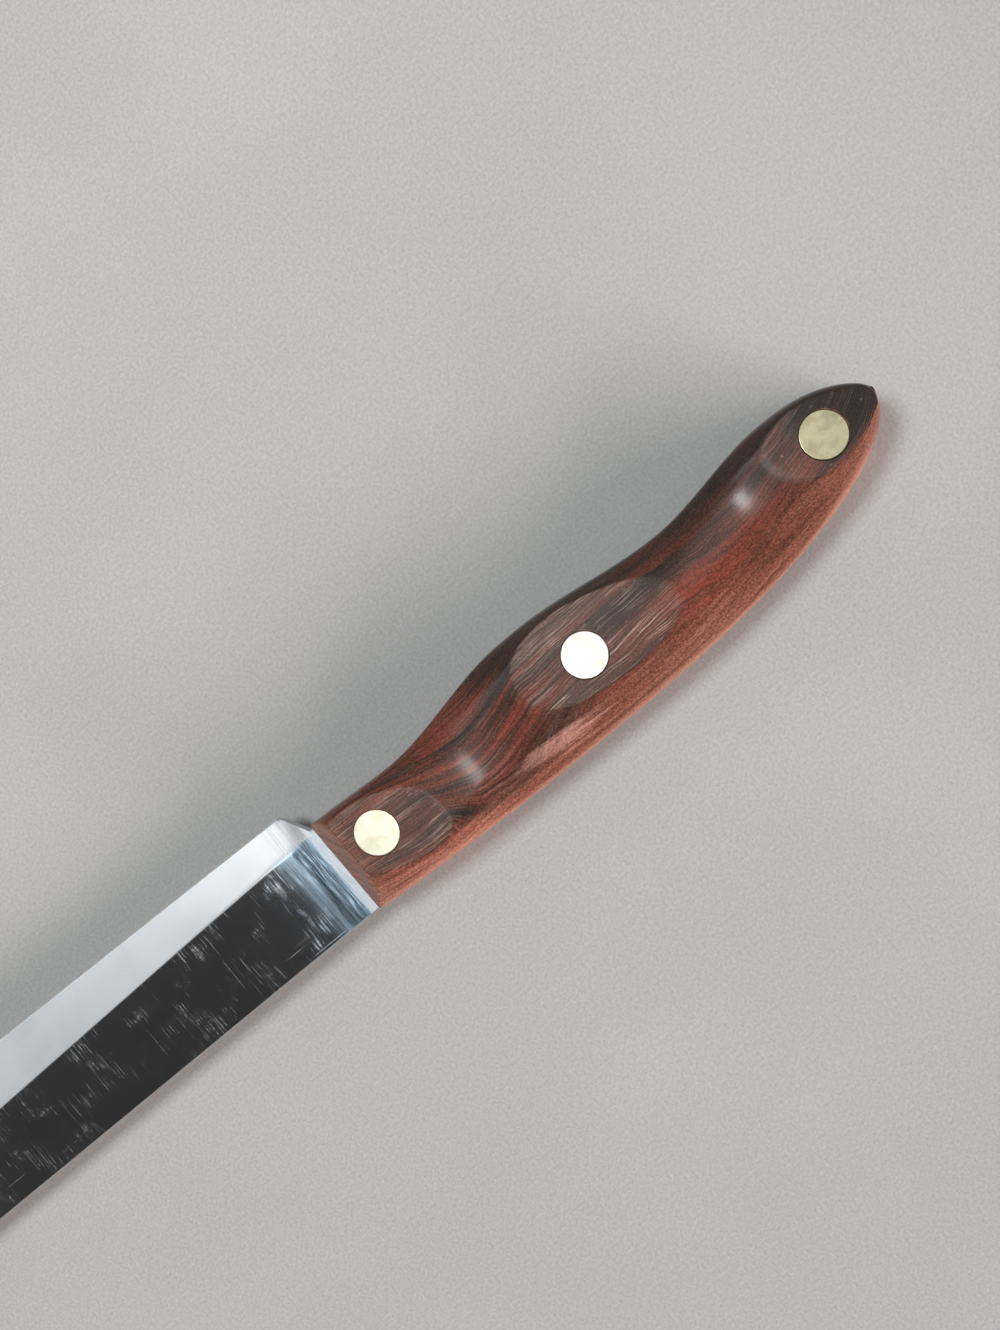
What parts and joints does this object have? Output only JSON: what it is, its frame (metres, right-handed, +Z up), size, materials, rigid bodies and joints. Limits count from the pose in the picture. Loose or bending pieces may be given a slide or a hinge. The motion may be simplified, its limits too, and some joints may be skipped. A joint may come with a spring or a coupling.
{
  "type": "butcher knife",
  "caption": "Full-tang butcher knife with a straight-backed, upswept steel blade and sculpted marbled resin scales held by flush rivets.",
  "frame": {"origin": "on the middle rivet's axis, in the plane of the left pads on which the knife lies", "axes": "+X along the blade to the tip, +Y to the spine, +Z up from the lying knife's left side to its right side"},
  "size_m": [0.339, 0.0331, 0.016],
  "materials": {
    "steel": "polished, finely scratched",
    "resin": "marbled, satin",
    "nickel_silver": "polished"
  },
  "bodies": {
    "root": {"blade": "steel", "right_scale": "resin", "left_scale": "resin", "front_rivet_male": "nickel_silver", "front_rivet_female": "nickel_silver", "middle_rivet_male": "nickel_silver", "middle_rivet_female": "nickel_silver", "rear_rivet_male": "nickel_silver", "rear_rivet_female": "nickel_silver"}
  },
  "joints": []
}
